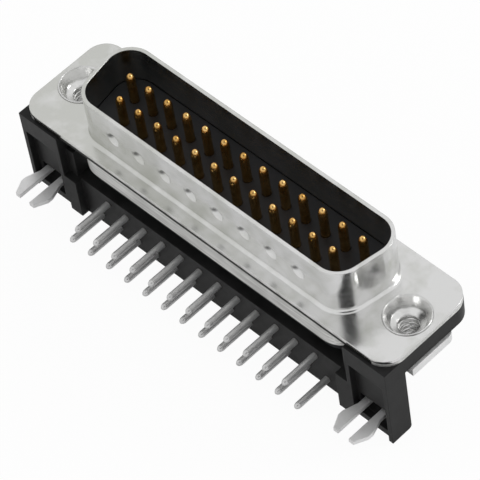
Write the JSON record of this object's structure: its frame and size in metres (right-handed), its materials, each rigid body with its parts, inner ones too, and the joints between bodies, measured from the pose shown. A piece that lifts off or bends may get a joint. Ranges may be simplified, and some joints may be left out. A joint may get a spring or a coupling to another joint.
{
  "type": "d-sub connector",
  "caption": "Right-angle circuit-board plug: a D-shaped metal shell around rows of round pins, a flange with threaded inserts, and a black bracket with forked board locks.",
  "frame": {"origin": "centre of the D on the flange's mating face", "axes": "+Z is the mating direction, out of the plug; X runs along the length; the circuit board lies on the -Y side and the longer row of pins is on the +Y side"},
  "size_m": [0.0538, 0.0167, 0.0183],
  "materials": {
    "shell": "satin tin plate",
    "insulator": "moulded, satin",
    "bracket": "moulded, satin",
    "board_lock": "bright tin plate",
    "insert": "bright plate",
    "contact": "gold plate, tinned tail"
  },
  "bodies": {
    "root": {"front_shell": "shell", "rear_shell": "shell", "front_insulator": "insulator", "rear_insulator": "insulator", "bracket": "bracket", "board_lock_left": "board_lock", "board_lock_right": "board_lock", "threaded_insert_left": "insert", "threaded_insert_right": "insert", "contact_01": "contact", "contact_02": "contact", "contact_03": "contact", "contact_04": "contact", "contact_05": "contact", "contact_06": "contact", "contact_07": "contact", "contact_08": "contact", "contact_09": "contact", "contact_10": "contact", "contact_11": "contact", "contact_12": "contact", "contact_13": "contact", "contact_14": "contact", "contact_15": "contact", "contact_16": "contact", "contact_17": "contact", "contact_18": "contact", "contact_19": "contact", "contact_20": "contact", "contact_21": "contact", "contact_22": "contact", "contact_23": "contact", "contact_24": "contact", "contact_25": "contact"}
  },
  "joints": []
}
